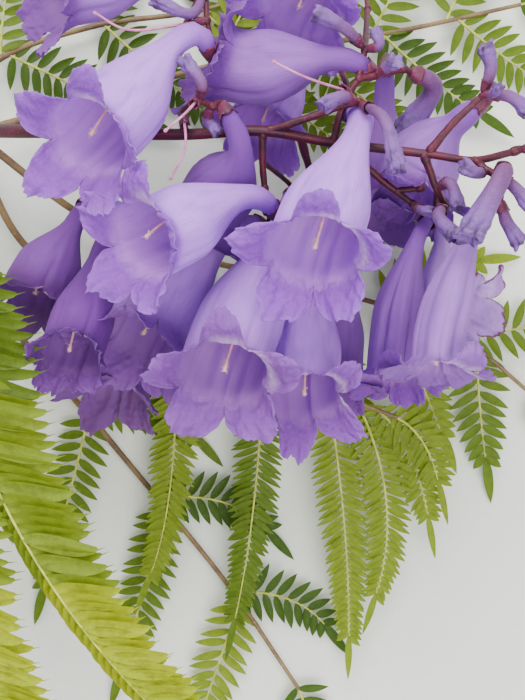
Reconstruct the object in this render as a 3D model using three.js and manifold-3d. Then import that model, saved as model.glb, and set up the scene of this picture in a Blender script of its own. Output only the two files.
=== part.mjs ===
// A flowering jacaranda branch as cut and laid down: a short woody stem, the branching flower
// panicle with its calyces and buds, one shell for each bloom, and the feathery leaves.
// Millimetres, +Z up. +X runs from the cut end towards the panicle's tip, the blooms hang along -Y.
import * as THREE from "three";
import { mergeVertices } from "three/addons/utils/BufferGeometryUtils.js";
import Module from "manifold-3d";

const wasm = await Module();
wasm.setup();

// Driving dimensions
const MIDDLE = [-5, 2.6]; // where the middle of the spray's box lies in the layout's own coordinates
const FLOOR = 0.36; // lowest point of the spray in the layout's heights
const GAP = 0.3; // clearance between neighbouring pieces
const STEM_RADIUS = [2.7, 2.2]; // at the cut end and where the panicle starts
const AXIS_RADIUS = [1.7, 0.8];
const TWIG_RADIUS = [0.95, 0.7];
const STALK_RADIUS = 0.65;
const CALYX = { length: 3.2, mouth: 2.2 };
const STYLE_RADIUS = 0.45;
const BUD = { root: 1.2, waist: 1.4, head: 1.95 };

// One bloom: radii of the tube, shape of its five lobes, thickness of the petal
const BLOOM = {
  base: 1.8, neck: 2.6, bell: 8.8,
  neckEnd: 0.19, bellEnd: 0.76,
  lobes: 5, lobeEdge: 0.66, cleft: 4, lobeHalfWidth: 6.4,
  lowerLobe: 12.5, sideLobe: 11, upperLobe: 10,
  lowerFlare: 0.95, sideFlare: 1.25, upperFlare: 1.5, startFlare: 0.15,
  flatten: 0.07, petal: 0.5,
};
const DOWN = [0, -0.8, -0.55]; // where the lower lips point, as the spray hung before it was laid down
const TUBE_STEPS = 12;
const TUBE_ROWS = [0, 2, 6, 9, 12]; // in steps of the tube's length
const HOLLOW_STEP = 6; // the tube is solid up to this step
const LOBE_ROWS = [0.5, 1]; // in shares of a lobe's length

// Feathery leaves: a stalk that carries pairs of pinnae, each a thin blade cut to its rib
const LEAF = { stalk: [1.15, 0.55], rib: 0.35, thick: 0.45, tipLeaflet: 0.9 };

const STEM = [[-92.5, 54.5, 3], [-86.5, 54.5, 4], [-78, 53.5, 12], [-69, 53, 24]];
const AXIS = [
  [-69, 53, 24], [-59.5, 51.5, 33], [-46.5, 50, 41], [-17.5, 48.5, 46], [0, 49, 47],
  [16, 46.5, 46], [37, 43.5, 49], [47, 42, 50], [55.5, 44, 49],
];

// Each bloom by the seat in its calyx, the crest that its tube bends over, and its throat
const BLOOMS = {
  centre: {
    calyx: [20, 53.5, 44], crest: [23, 54, 50], throat: [11, 21.5, 66],
    facing: [-0.1, -0.6, 0.8],
  },
  low_centre: {
    calyx: [7, 36.5, 30], crest: [6.5, 33, 35], throat: [-8, -4, 60],
    facing: [-0.1, -0.6, 0.8],
  },
  low_left: {
    calyx: [-36.5, 28, 30], crest: [-37.5, 25, 34], throat: [-42.5, 0, 50],
    facing: [-0.1, -0.5, 0.86], size: 0.75,
  },
  high_left: {
    calyx: [-12, 67.5, 48], crest: [-14, 72, 51], throat: [-35.5, 45.5, 62],
    facing: [-0.45, -0.5, 0.74],
  },
  mid_left: {
    calyx: [2, 31.5, 50], crest: [-0.5, 34.5, 53], throat: [-23.5, 23.5, 64],
    facing: [-0.65, -0.3, 0.7],
  },
  behind_left: {
    calyx: [-1.5, 29.5, 34], crest: [-4.5, 29.5, 37], throat: [-26.5, 4.5, 42],
    facing: [-0.3, -0.75, 0.55],
  },
  lowest: {
    calyx: [13, 26.5, 30], crest: [13.5, 23, 33], throat: [9, -9.5, 50],
    facing: [0.1, -0.65, 0.75], size: 0.88,
  },
  slim: {
    calyx: [22, 27, 18], crest: [21.5, 24, 19], throat: [16.5, -6, 25],
    facing: [0, -0.9, 0.3], size: 0.8,
  },
  right_inner: {
    calyx: [38.5, 30, 36], crest: [36.5, 28.5, 40], throat: [30, -4.5, 36],
    facing: [-0.1, -0.95, 0.25], size: 0.82, narrow: 0.68,
  },
  right_outer: {
    calyx: [49, 31, 44], crest: [47.5, 29, 50], throat: [38, -2, 53],
    facing: [-0.1, -0.95, 0.2], size: 0.85, narrow: 0.66,
  },
  far_right: {
    calyx: [43.5, 31, 22], crest: [44, 28.5, 24], throat: [48.5, 10.5, 26],
    facing: [0.75, -0.45, 0.45], size: 0.8,
  },
  high_right: {
    calyx: [48.5, 55, 44], crest: [46.5, 53.5, 43], throat: [36, 40.5, 31],
    facing: [-0.3, -0.85, 0.1],
  },
  back_centre: {
    calyx: [30, 68, 23], crest: [30, 63.5, 19], throat: [30, 36, 15],
    facing: [0, -0.95, 0.2], size: 0.85,
  },
  top_centre: {
    calyx: [23, 63.5, 46], crest: [19.5, 65.5, 48], throat: [-7, 66, 37],
    facing: [-0.95, 0.2, 0.1],
  },
  back_top: {
    calyx: [13, 74, 14], crest: [11.5, 72, 16], throat: [0.5, 57, 20],
    facing: [-0.3, -0.8, 0.4], size: 0.85,
  },
  top_left: {
    calyx: [-16.5, 84, 34], crest: [-19, 85.5, 37], throat: [-45, 82.5, 42],
    facing: [-0.85, -0.3, 0.4],
  },
  top_back: {
    calyx: [22, 97, 18], crest: [20.5, 97, 20], throat: [9, 81.5, 32],
    facing: [-0.3, -0.8, 0.5],
  },
  back_left: {
    calyx: [-44, 35.5, 18], crest: [-45, 33, 20], throat: [-54.5, 14.5, 24],
    facing: [-0.3, -0.85, 0.4], size: 0.85,
  },
  neck_left: {
    calyx: [-7.5, 51, 54], crest: [-4, 45, 56], throat: [-13, 30, 36],
    facing: [-0.2, -0.95, -0.2], size: 0.9,
  },
  back_low: {
    calyx: [-25.5, 20.5, 13], crest: [-26.5, 17, 16], throat: [-35, -8, 26],
    facing: [-0.2, -0.85, 0.4], size: 0.85,
  },
};

// Side shoots of the panicle: named joints, the limbs that run through them, and what each joint
// carries. A bud gives its bend, its tip and its size; a style gives its bend and its tip.
const SHOOTS = {
  shoot_left: {
    joints: {
      a: [-17.5, 48.5, 46], b: [-17.5, 52.5, 50], c: [-14, 54.5, 55], d: [-11, 53, 55],
    },
    limbs: ["abc", "cd"],
    blooms: { neck_left: "d" },
    buds: [["c", [-13, 57, 58], [-17, 63, 56], 1.05], ["d", [-12, 51, 52], [-9.5, 47.5, 52], 0.9]],
    styles: [["c", [-16.5, 50.5, 60], [-20.5, 46.5, 62]], ["b", [-17, 44, 53], [-20, 37.5, 54]]],
  },
  shoot_top_left: {
    joints: {
      a: [-27.5, 49, 44], b: [-23.5, 64, 36], c: [-16, 79, 37], d: [-13, 82.5, 42], e: [-12.5, 74, 46],
    },
    limbs: ["abcd", "de"],
    blooms: { high_left: "e", top_left: "c" },
    buds: [["d", [-16, 75, 48], [-25, 78, 50], 1.0]],
    styles: [["e", [-30, 70.5, 52], [-36.5, 73.5, 54]]],
  },
  shoot_mid: {
    joints: { a: [0, 49, 47], b: [0, 42.5, 45], c: [0.5, 36.5, 44] },
    limbs: ["abc"],
    blooms: { mid_left: "c", behind_left: "c", low_centre: "b" },
    buds: [],
    styles: [],
  },
  shoot_low_left: {
    joints: { a: [-41, 49.5, 43], b: [-39.5, 40.5, 36], c: [-37.5, 34, 30], d: [-30.5, 28, 18] },
    limbs: ["abc", "cd"],
    blooms: { low_left: "c", back_left: "b", back_low: "d" },
    buds: [],
    styles: [],
  },
  shoot_bar: {
    joints: { a: [1, 49, 47], b: [8.5, 51, 49], c: [16.5, 53.5, 51], d: [21, 54.5, 52] },
    limbs: ["abcd"],
    blooms: {},
    buds: [["d", [17, 55, 55], [12.5, 52.5, 56], 1.15], ["d", [26, 49, 60], [29, 37, 61], 1.15]],
    styles: [],
  },
  shoot_top: {
    joints: {
      a: [16, 46.5, 46], b: [17, 51.5, 47], c: [19.5, 57.5, 48], d: [21.5, 60.5, 48],
      e: [25.5, 61.5, 47], f: [32, 63.5, 44],
      g: [23, 67.5, 46], h: [18.5, 68.5, 26], i: [25, 81, 30],
    },
    limbs: ["abcd", "def", "dg", "ch", "gi"],
    blooms: { centre: "b", top_centre: "d", back_centre: "e", back_top: "h", top_back: "i" },
    buds: [
      ["g", [18.5, 71, 50], [11, 74.5, 52], 1.2], ["g", [26, 68, 48], [25, 71.5, 48], 0.9],
      ["e", [28, 63, 50], [29.5, 63.5, 52], 1.1], ["f", [39.5, 61, 38], [33.5, 51.5, 30], 1.9],
    ],
    styles: [["c", [8.5, 58.5, 60], [2.5, 61, 62]]],
  },
  shoot_right_up: {
    joints: { a: [37, 44, 49], b: [42.5, 50.5, 50], c: [48.5, 56, 51] },
    limbs: ["abc"],
    blooms: { high_right: "c" },
    buds: [
      ["c", [50, 62, 53], [48.5, 67, 54], 1.15], ["c", [54, 55.5, 53], [59, 52, 52], 1.15],
      ["c", [50.5, 56, 55], [51, 57.5, 57], 0.8],
    ],
    styles: [],
  },
  shoot_right_down: {
    joints: { a: [36, 43, 49], b: [39, 36, 47], c: [41.5, 32.5, 44], d: [42, 34, 30] },
    limbs: ["abc", "bd"],
    blooms: { right_inner: "b", far_right: "d" },
    buds: [["c", [39, 29.5, 50], [42.5, 24.5, 52], 1.2], ["b", [41.5, 37, 50], [43.5, 31, 50], 1.1]],
    styles: [],
  },
  shoot_behind: {
    joints: {
      a: [18.5, 46, 46], b: [24, 41.5, 42], c: [30.5, 36.5, 40], d: [34.5, 33.5, 40], e: [36, 37, 41],
    },
    limbs: ["abcd", "ce"],
    blooms: {},
    buds: [["d", [36.5, 31.5, 44], [39, 31, 46], 0.9]],
    styles: [],
  },
  shoot_centre: {
    joints: { a: [8.5, 48, 46], b: [11.5, 39.5, 38], c: [14, 32.5, 30], d: [20, 32, 24] },
    limbs: ["abc", "bd"],
    blooms: { lowest: "c", slim: "d" },
    buds: [],
    styles: [],
  },
  shoot_tip: {
    joints: { a: [47, 42, 50], b: [49, 40, 51], c: [51.5, 38, 52], d: [52.5, 34, 50] },
    limbs: ["abcd"],
    blooms: { right_outer: "d" },
    buds: [
      ["b", [46.5, 38.5, 55], [43, 40, 56], 1.1], ["c", [52, 38.5, 58], [43, 22.5, 62], 1.9],
      ["c", [54.5, 36, 54], [58.5, 31, 54], 1.15], ["d", [54, 28.5, 50], [57.5, 23, 50], 1.2],
    ],
    styles: [],
  },
  shoot_end: {
    joints: { a: [55.5, 44, 49], b: [57, 44.5, 49] },
    limbs: ["ab"],
    blooms: {},
    buds: [["b", [60, 44.5, 50], [64, 42, 50], 1.15]],
    styles: [],
  },
};

// Leaves: path of the stalk from the stem, share of it that is bare, pairs of pinnae, their length,
// the angle they leave at, the way they droop, and the length and spacing of their leaflets
const LEAVES = {
  leaf_front: {
    path: [[-75.5, 53.5, 14], [-76.5, 26.5, 50], [-75, -6, 70], [-76.5, -34.5, 72], [-75, -54, 68]],
    from: 0.42, pairs: 0, pinna: 50, angle: 0.5, droop: [0.2, -0.8, 0], leaflet: 15, pitch: 9,
    pinnae: [
      [0.2, [-67, -31, 84], [-14, -82, 68]],
      [0.55, [-70, -50.5, 74], [-45.5, -92, 66]],
      [0.45, [-88.5, -27, 66], [-87, -62.5, 58]],
    ],
  },
  leaf_low: {
    path: [[-82.5, 54, 8], [-74.5, 20.5, 3], [-39.5, -23.5, 3], [-9.5, -60, 4], [9.5, -88, 3]],
    from: 0.46, pairs: 3, pinna: 42, angle: 0.95, droop: [-0.3, -0.9, 0], leaflet: 9, pitch: 8,
  },
  leaf_hanging: {
    path: [[-72, 53, 20], [-59.5, 25.5, 7], [-16, 5, 8], [12, -8, 12], [26, -14, 13], [34, -17, 13]],
    from: 0.6, pairs: 0, pinna: 45, angle: 0.8, droop: [-0.25, -1.4, 0], leaflet: 7.5, pitch: 7.5,
    pinnae: [
      [0.55, [-21, -38, 10], [-28.5, -57, 8]],
      [0.73, [-1, -42, 11], [-7, -68.5, 8]],
      [0.86, [22, -45, 12], [22, -73, 8]],
      [0.92, [36, -38, 12], [29, -62, 8]],
      [0.96, [38, -22, 12], [42, -42, 9]],
    ],
  },
  leaf_high_left: {
    path: [[-79, 53.5, 12], [-70, 73, 6], [-44.5, 83.5, 4], [-16, 88, 3], [7, 95, 3]],
    from: 0.25, pairs: 3, pinna: 40, angle: 0.95, droop: [0.4, -0.2, 0], leaflet: 9.5, pitch: 9,
  },
  leaf_high_right: {
    path: [[-74.5, 53.5, 15], [-51.5, 61.5, 8], [-6, 74.5, 7], [35.5, 82, 6], [66.5, 89, 5]],
    from: 0.46, pairs: 4, pinna: 40, angle: 0.95, droop: [0.4, 0, 0], leaflet: 9.5, pitch: 9,
  },
  leaf_right: {
    path: [[-71.5, 53.5, 20], [-39, 30.5, 8], [17.5, 15.5, 4], [48.5, 5, 4], [71.5, -13, 4]],
    from: 0.55, pairs: 3, pinna: 38, angle: 0.9, droop: [0.2, -0.5, 0], leaflet: 9.5, pitch: 9,
  },
};

// Colours: base colour, roughness
const BARK = new THREE.MeshStandardMaterial({ color: "#6b5444", roughness: 0.85, metalness: 0 });
const TWIG = new THREE.MeshStandardMaterial({ color: "#74403c", roughness: 0.6, metalness: 0 });
const PETAL = new THREE.MeshStandardMaterial({ color: "#a488cf", roughness: 0.6, metalness: 0 });
const GREEN = new THREE.MeshStandardMaterial({ color: "#7f9a3c", roughness: 0.6, metalness: 0 });

const vector = (p) => new THREE.Vector3(...p);
const smooth = (low, high, x) => THREE.MathUtils.smoothstep(x, low, high);

// A closed surface through rings of equal count, its two ends closed onto a point each. From the
// ring numbered fold, where a shell turns back on itself, the squares are split the other way, so
// that both faces of the shell bend alike.
function loft(rings, start, end, fold = rings.length) {
  const count = rings[0].length;
  const points = [...rings.flat(), start, end];
  const [first, last] = [points.length - 2, points.length - 1];
  const faces = [];
  for (let j = 0; j < count; j++) {
    const next = (j + 1) % count;
    faces.push([first, next, j]);
    for (let i = 0; i + 1 < rings.length; i++) {
      const [a, b] = [i * count + j, i * count + next];
      if (i < fold) faces.push([a, b, b + count], [a, b + count, a + count]);
      else faces.push([a, b, a + count], [b, b + count, a + count]);
    }
    const top = (rings.length - 1) * count;
    faces.push([last, top + j, top + next]);
  }
  return solidFrom(points, faces);
}

function solidFrom(points, faces) {
  const flat = new THREE.BufferGeometry().setFromPoints(points).setIndex(faces.flat());
  const merged = mergeVertices(flat, 1e-4);
  return new wasm.Manifold(new wasm.Mesh({
    numProp: 3,
    vertProperties: merged.attributes.position.array,
    triVerts: new Uint32Array(merged.index.array),
  }));
}

const union = (solids) => solids.reduce((whole, piece) => whole.add(piece));

// A tapering limb through points, its radius given along its length from 0 to 1.
function limb(points, radiusAt, stops, sides, grow) {
  const curve = new THREE.CatmullRomCurve3(points, false, "centripetal");
  let across = new THREE.Vector3(0.3, 0.2, 1);
  const centreAt = (t) => {
    const beyond = t === 0 ? -grow : t === 1 ? grow : 0;
    return curve.getPointAt(t).addScaledVector(curve.getTangentAt(t), beyond);
  };
  const rings = stops.map((t) => {
    const along = curve.getTangentAt(t);
    across = across.clone().addScaledVector(along, -across.dot(along)).normalize();
    const side = along.clone().cross(across);
    const radius = radiusAt(t) + grow;
    return Array.from({ length: sides }, (_, j) => {
      const angle = (2 * Math.PI * j) / sides;
      return centreAt(t)
        .addScaledVector(across, radius * Math.cos(angle))
        .addScaledVector(side, radius * Math.sin(angle));
    });
  });
  return loft(rings, centreAt(0), centreAt(1));
}

const evenly = (count) => Array.from({ length: count + 1 }, (_, i) => i / count);

const taper = (from, to) => (t) => from + (to - from) * t;

// The centreline of a bloom's tube, which bends over at its crest and ends in its facing direction.
function tubeCurve({ calyx, crest, throat, facing }) {
  const [a, b, c] = [vector(calyx), vector(crest), vector(throat)];
  const reach = b.distanceTo(c);
  const end = facing ? vector(facing).normalize() : c.clone().sub(b).normalize();
  const before = c.clone().addScaledVector(end, -0.42 * reach);
  return new THREE.CubicBezierCurve3(a, a.clone().lerp(b, 2.2), before, c);
}

// Frames along a tube, carried back from its throat without twist.
function tubeFrames(curve) {
  const frames = [];
  let out = vector(DOWN);
  for (let i = TUBE_STEPS; i >= 0; i--) {
    const along = curve.getTangentAt(i / TUBE_STEPS);
    out = out.clone().addScaledVector(along, -out.dot(along)).normalize();
    frames[i] = { centre: curve.getPointAt(i / TUBE_STEPS), along, out, side: along.clone().cross(out) };
  }
  return frames;
}

// The shell of one bloom. The tube widens from neck to bell, and five lobes flare from its throat.
function bloom(spec, grow) {
  const size = spec.size ?? 1;
  const frames = tubeFrames(tubeCurve(spec));
  const mouth = frames[TUBE_STEPS];
  const columns = BLOOM.lobes * 3;
  const sector = Math.PI / BLOOM.lobes;
  const shapeAt = (turn) => {
    const low = (1 + Math.cos(turn)) / 2;
    const pick = (lower, middle, upper) => (low > 0.5
      ? THREE.MathUtils.lerp(middle, lower, low * 2 - 1)
      : THREE.MathUtils.lerp(upper, middle, low * 2));
    return {
      reach: pick(BLOOM.lowerLobe, BLOOM.sideLobe, BLOOM.upperLobe) * size,
      flare: pick(BLOOM.lowerFlare, BLOOM.sideFlare, BLOOM.upperFlare) * (spec.open ?? 1),
    };
  };
  const tubeRadius = (u, turn) => size * (1 - BLOOM.flatten * Math.cos(2 * turn)) * (BLOOM.base
    + (BLOOM.neck - BLOOM.base) * smooth(0, 0.16, u)
    + (BLOOM.bell - BLOOM.neck) * smooth(BLOOM.neckEnd, BLOOM.bellEnd, u));
  const spot = (frame, turn, radius, lift) => frame.centre.clone()
    .addScaledVector(frame.out, radius * Math.cos(turn))
    .addScaledVector(frame.side, radius * Math.sin(turn) * (spec.narrow ?? 1))
    .addScaledVector(frame.along, lift);
  const tubeRing = (step, inset) => Array.from({ length: columns }, (_, j) => {
    const turn = (2 * Math.PI * j) / columns;
    return spot(frames[step], turn, tubeRadius(step / TUBE_STEPS, turn) - inset, step ? 0 : -grow);
  });
  const lobeRing = (share, inset) => Array.from({ length: columns }, (_, j) => {
    const middle = 2 * sector * Math.floor(j / 3) + sector;
    const across = [-1, -BLOOM.lobeEdge, BLOOM.lobeEdge][j % 3];
    const atCleft = j % 3 === 0;
    const { reach, flare } = shapeAt(atCleft ? middle - sector : middle);
    const run = share * ((atCleft ? BLOOM.cleft * size : reach) + grow);
    const bend = (flare - BLOOM.startFlare) / reach;
    const lean = BLOOM.startFlare + bend * run;
    const radius = tubeRadius(1, middle) + (Math.cos(BLOOM.startFlare) - Math.cos(lean)) / bend;
    const lift = (Math.sin(lean) - Math.sin(BLOOM.startFlare)) / bend;
    const lobeHalf = (BLOOM.lobeHalfWidth * size + 1.4 * grow) / radius;
    const half = atCleft ? sector : Math.min(sector * 0.97, lobeHalf);
    return spot(mouth, middle + half * across,
      radius - inset * Math.cos(lean), lift + inset * Math.sin(lean));
  });
  const half = BLOOM.petal / 2 + grow;
  const inside = TUBE_ROWS.filter((step) => step > HOLLOW_STEP).reverse();
  const rings = [
    ...TUBE_ROWS.map((step) => tubeRing(step, -half)),
    ...LOBE_ROWS.map((share) => lobeRing(share, -half)),
    ...[...LOBE_ROWS].reverse().map((share) => lobeRing(share, half)),
    ...inside.map((step) => tubeRing(step, half)),
  ];
  const seat = frames[0].centre.clone().addScaledVector(frames[0].along, -grow);
  return loft(rings, seat, frames[HOLLOW_STEP].centre, TUBE_ROWS.length + LOBE_ROWS.length);
}

// The stalk of a bloom and its calyx, which ends just short of the tube's seat.
function stalk(joint, spec, grow) {
  const curve = tubeCurve(spec);
  const along = curve.getTangentAt(0);
  const mouth = curve.v0.clone().addScaledVector(along, -1.2 * GAP);
  const root = mouth.clone().addScaledVector(along, -CALYX.length);
  const path = [joint, root, mouth];
  const length = joint.distanceTo(root) + CALYX.length;
  const cup = 1 - CALYX.length / length;
  const opening = (t) => Math.max(0, (t - cup) / (1 - cup)) ** 0.6;
  const radius = (t) => STALK_RADIUS + (CALYX.mouth - STALK_RADIUS) * opening(t);
  return limb(path, radius, [0, cup, cup + 0.4 * (1 - cup), 1], 5, grow);
}

// A club-shaped bud on its calyx.
function bud(joint, bend, tip, size, grow) {
  const radius = (t) => size * (BUD.root + (BUD.waist - BUD.root) * smooth(0, 0.3, t)
    + (BUD.head - BUD.waist) * smooth(0.45, 0.85, t)) * (1 - 0.35 * smooth(0.88, 1, t));
  return limb([joint, vector(bend), vector(tip)], radius, [0, 0.35, 0.82, 1], 5, grow);
}

function style(joint, bend, tip, grow) {
  return limb([joint, vector(bend), vector(tip)], taper(STYLE_RADIUS, STYLE_RADIUS), evenly(3), 3, grow);
}

function shoot(spec, grow) {
  const joint = (name) => vector(spec.joints[name]);
  const solids = spec.limbs.map((names, order) => {
    const radius = taper(order ? TWIG_RADIUS[1] : TWIG_RADIUS[0], TWIG_RADIUS[1]);
    return limb([...names].map(joint), radius, evenly(2 * names.length - 2), order ? 3 : 4, grow);
  });
  for (const [name, at] of Object.entries(spec.blooms)) solids.push(stalk(joint(at), BLOOMS[name], grow));
  for (const [at, bend, tip, size] of spec.buds) solids.push(bud(joint(at), bend, tip, size, grow));
  for (const [at, bend, tip] of spec.styles) solids.push(style(joint(at), bend, tip, grow));
  return union(solids);
}

// A pinna: a thin blade along its rib, cut in to the rib between its leaflets.
function pinna(root, bend, tip, spec, grow) {
  const curve = new THREE.QuadraticBezierCurve3(root, bend, tip);
  const teeth = Math.round(curve.getLength() / spec.pitch);
  const up = new THREE.Vector3(0, 0, 1);
  const half = LEAF.thick / 2 + grow;
  const rightEdge = [];
  const leftEdge = [];
  const at = (t, across, ahead) => {
    const along = curve.getTangentAt(t);
    const left = up.clone().cross(along).normalize();
    return curve.getPointAt(t).addScaledVector(left, across).addScaledVector(along, ahead);
  };
  for (let i = 0; i <= teeth; i++) {
    const rib = LEAF.rib + grow;
    rightEdge.push(at(i / teeth, -rib, 0));
    leftEdge.push(at(i / teeth, rib, 0));
    if (i === teeth) break;
    const share = (i + 0.55) / teeth;
    const reach = spec.leaflet * (0.75 + 0.5 * share - 0.75 * share * share) + grow;
    rightEdge.push(at(share, -0.95 * reach, 0.3 * reach));
    leftEdge.push(at(share, 0.95 * reach, 0.3 * reach));
  }
  const outline = [...rightEdge, at(1, 0, LEAF.tipLeaflet * spec.leaflet + grow), ...leftEdge.reverse()];
  const count = outline.length;
  const lift = new THREE.Vector3(0, 0, half);
  const points = [...outline.map((p) => p.clone().add(lift)), ...outline.map((p) => p.clone().sub(lift))];
  const flat = [[2 * teeth, 2 * teeth + 1, 2 * teeth + 2]];
  for (let i = 0; i < teeth; i++) {
    const [r, l] = [2 * i, count - 1 - 2 * i];
    flat.push([r, r + 1, r + 2], [l, l - 2, l - 1], [r, r + 2, l - 2], [r, l - 2, l]);
  }
  const faces = [...flat, ...flat.map(([a, b, c]) => [a + count, c + count, b + count])];
  for (let i = 0; i < count; i++) {
    const next = (i + 1) % count;
    faces.push([i + count, next + count, next], [i + count, next, i]);
  }
  return solidFrom(points, faces);
}

function leaf(spec, grow) {
  const curve = new THREE.CatmullRomCurve3(spec.path.map(vector), false, "centripetal");
  const solids = [limb(spec.path.map(vector), taper(LEAF.stalk[0], LEAF.stalk[1]), evenly(8), 4, grow)];
  const up = new THREE.Vector3(0, 0, 1);
  const droop = vector(spec.droop);
  const addPinna = (share, hand, length) => {
    const root = curve.getPointAt(share);
    const along = curve.getTangentAt(share);
    const left = up.clone().cross(along).normalize();
    const way = along.clone().multiplyScalar(Math.cos(spec.angle))
      .addScaledVector(left, hand * Math.sin(spec.angle));
    way.z *= 0.3;
    const bend = root.clone().addScaledVector(way, length * 0.5);
    const tip = root.clone().addScaledVector(way, length * 0.8).addScaledVector(droop, length * 0.3);
    tip.z = Math.max(tip.z - 1, 0.5);
    solids.push(pinna(root, bend, tip, spec, grow));
  };
  for (let i = 0; i < spec.pairs; i++) {
    const part = i / spec.pairs;
    const share = spec.from + (1 - spec.from) * part;
    const length = spec.pinna * (1 - 0.45 * part * part);
    addPinna(share, 1, length);
    addPinna(Math.min(share + 0.02, 1), -1, length);
  }
  for (const [share, bend, tip] of spec.pinnae ?? [])
    solids.push(pinna(curve.getPointAt(share), vector(bend), vector(tip), spec, grow));
  addPinna(0.985, 0, spec.pinna * 0.6);
  return union(solids);
}

// Trims a solid clear of those already placed and keeps its largest piece.
function cutClear(solid, placed) {
  let cut = solid;
  for (const other of placed) {
    const [a, b] = [cut.boundingBox(), other.boundingBox()];
    if ([0, 1, 2].every((k) => a.min[k] <= b.max[k] && b.min[k] <= a.max[k])) cut = cut.subtract(other);
  }
  const pieces = cut.decompose();
  return pieces.reduce((best, piece) => (piece.volume() > best.volume() ? piece : best));
}

const group = new THREE.Group();
const placed = [];

// Builds a node twice: as it is, and grown by the gap so that later nodes are kept clear of it.
function place(name, build, material) {
  const solid = cutClear(build(0), placed);
  placed.push(build(GAP));
  const { vertProperties, triVerts } = solid.getMesh();
  const geometry = new THREE.BufferGeometry()
    .setAttribute("position", new THREE.BufferAttribute(vertProperties, 3))
    .setIndex(new THREE.BufferAttribute(triVerts, 1));
  geometry.computeVertexNormals();
  const mesh = new THREE.Mesh(geometry, material);
  mesh.name = name;
  mesh.position.set(-MIDDLE[0], -MIDDLE[1], -FLOOR);
  group.add(mesh);
}

const stem = (grow) => limb(STEM.map(vector), taper(...STEM_RADIUS), evenly(6), 9, grow);
const axis = (grow) => limb(AXIS.map(vector), taper(...AXIS_RADIUS), evenly(14), 6, grow);
place("stem", stem, BARK);
place("panicle_axis", axis, TWIG);
for (const [name, spec] of Object.entries(SHOOTS)) place(name, (grow) => shoot(spec, grow), TWIG);
for (const [name, spec] of Object.entries(BLOOMS)) place(`bloom_${name}`, (grow) => bloom(spec, grow), PETAL);
for (const [name, spec] of Object.entries(LEAVES)) place(name, (grow) => leaf(spec, grow), GREEN);

export default group;
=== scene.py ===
"""A jacaranda's flowering branch, cut and laid down, with fine petals, twigs, buds and feathery leaves.

Lengths are millimetres in the branch's own layout, until MIDDLE and MM bring a mesh into the frame.
"""

import math

import bpy
import numpy as np
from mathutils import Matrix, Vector


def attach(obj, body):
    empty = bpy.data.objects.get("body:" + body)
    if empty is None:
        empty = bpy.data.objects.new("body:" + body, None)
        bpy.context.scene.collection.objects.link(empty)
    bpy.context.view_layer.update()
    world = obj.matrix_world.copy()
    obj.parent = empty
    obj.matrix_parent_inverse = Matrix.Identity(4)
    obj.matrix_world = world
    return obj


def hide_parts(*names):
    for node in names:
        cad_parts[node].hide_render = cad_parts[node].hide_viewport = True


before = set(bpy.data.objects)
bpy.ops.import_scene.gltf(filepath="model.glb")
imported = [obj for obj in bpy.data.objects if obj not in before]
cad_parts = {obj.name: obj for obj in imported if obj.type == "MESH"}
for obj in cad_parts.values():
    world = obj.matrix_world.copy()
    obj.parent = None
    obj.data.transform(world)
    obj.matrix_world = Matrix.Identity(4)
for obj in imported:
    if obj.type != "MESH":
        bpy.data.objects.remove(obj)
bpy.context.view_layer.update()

MM = 0.001
MIDDLE = np.array([-5, 2.6, 0.36])
TURN = 2 * math.pi

# Directions that the frames along a limb start from; a bloom's low lobe hangs towards DOWN
UP = np.array([0, 0, 1.0])
DOWN = np.array([0, -0.8, -0.55])
ACROSS = np.array([0.3, 0.2, 1])

# The camera looks straight down; its focal length and its picture are in pixels
EYE_HEIGHT = 325
FOCAL = 1242
PICTURE_HEIGHT = 700
SENSOR = 36

# The limbs, in the same layout as the solids: radius from foot to tip
STEM_RADIUS = (2.7, 2.2)
STEM_NODES = (0.3, 0.52, 0.74)
AXIS_RADIUS = (1.7, 0.8)
TWIG_RADIUS = (0.95, 0.7)
STALK_RADIUS = 0.6
CALYX_LENGTH = 3.4
CALYX_MOUTH = 2.25
CALYX_WALL = 0.28
BLOOM_GAP = 0.36

STEM = [(-92.5, 54.5, 3), (-86.5, 54.5, 4), (-78, 53.5, 12), (-69, 53, 24)]
AXIS = [
    (-69, 53, 24), (-59.5, 51.5, 33), (-46.5, 50, 41), (-17.5, 48.5, 46), (0, 49, 47),
    (16, 46.5, 46), (37, 43.5, 49), (47, 42, 50), (55.5, 44, 49),
]

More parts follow.
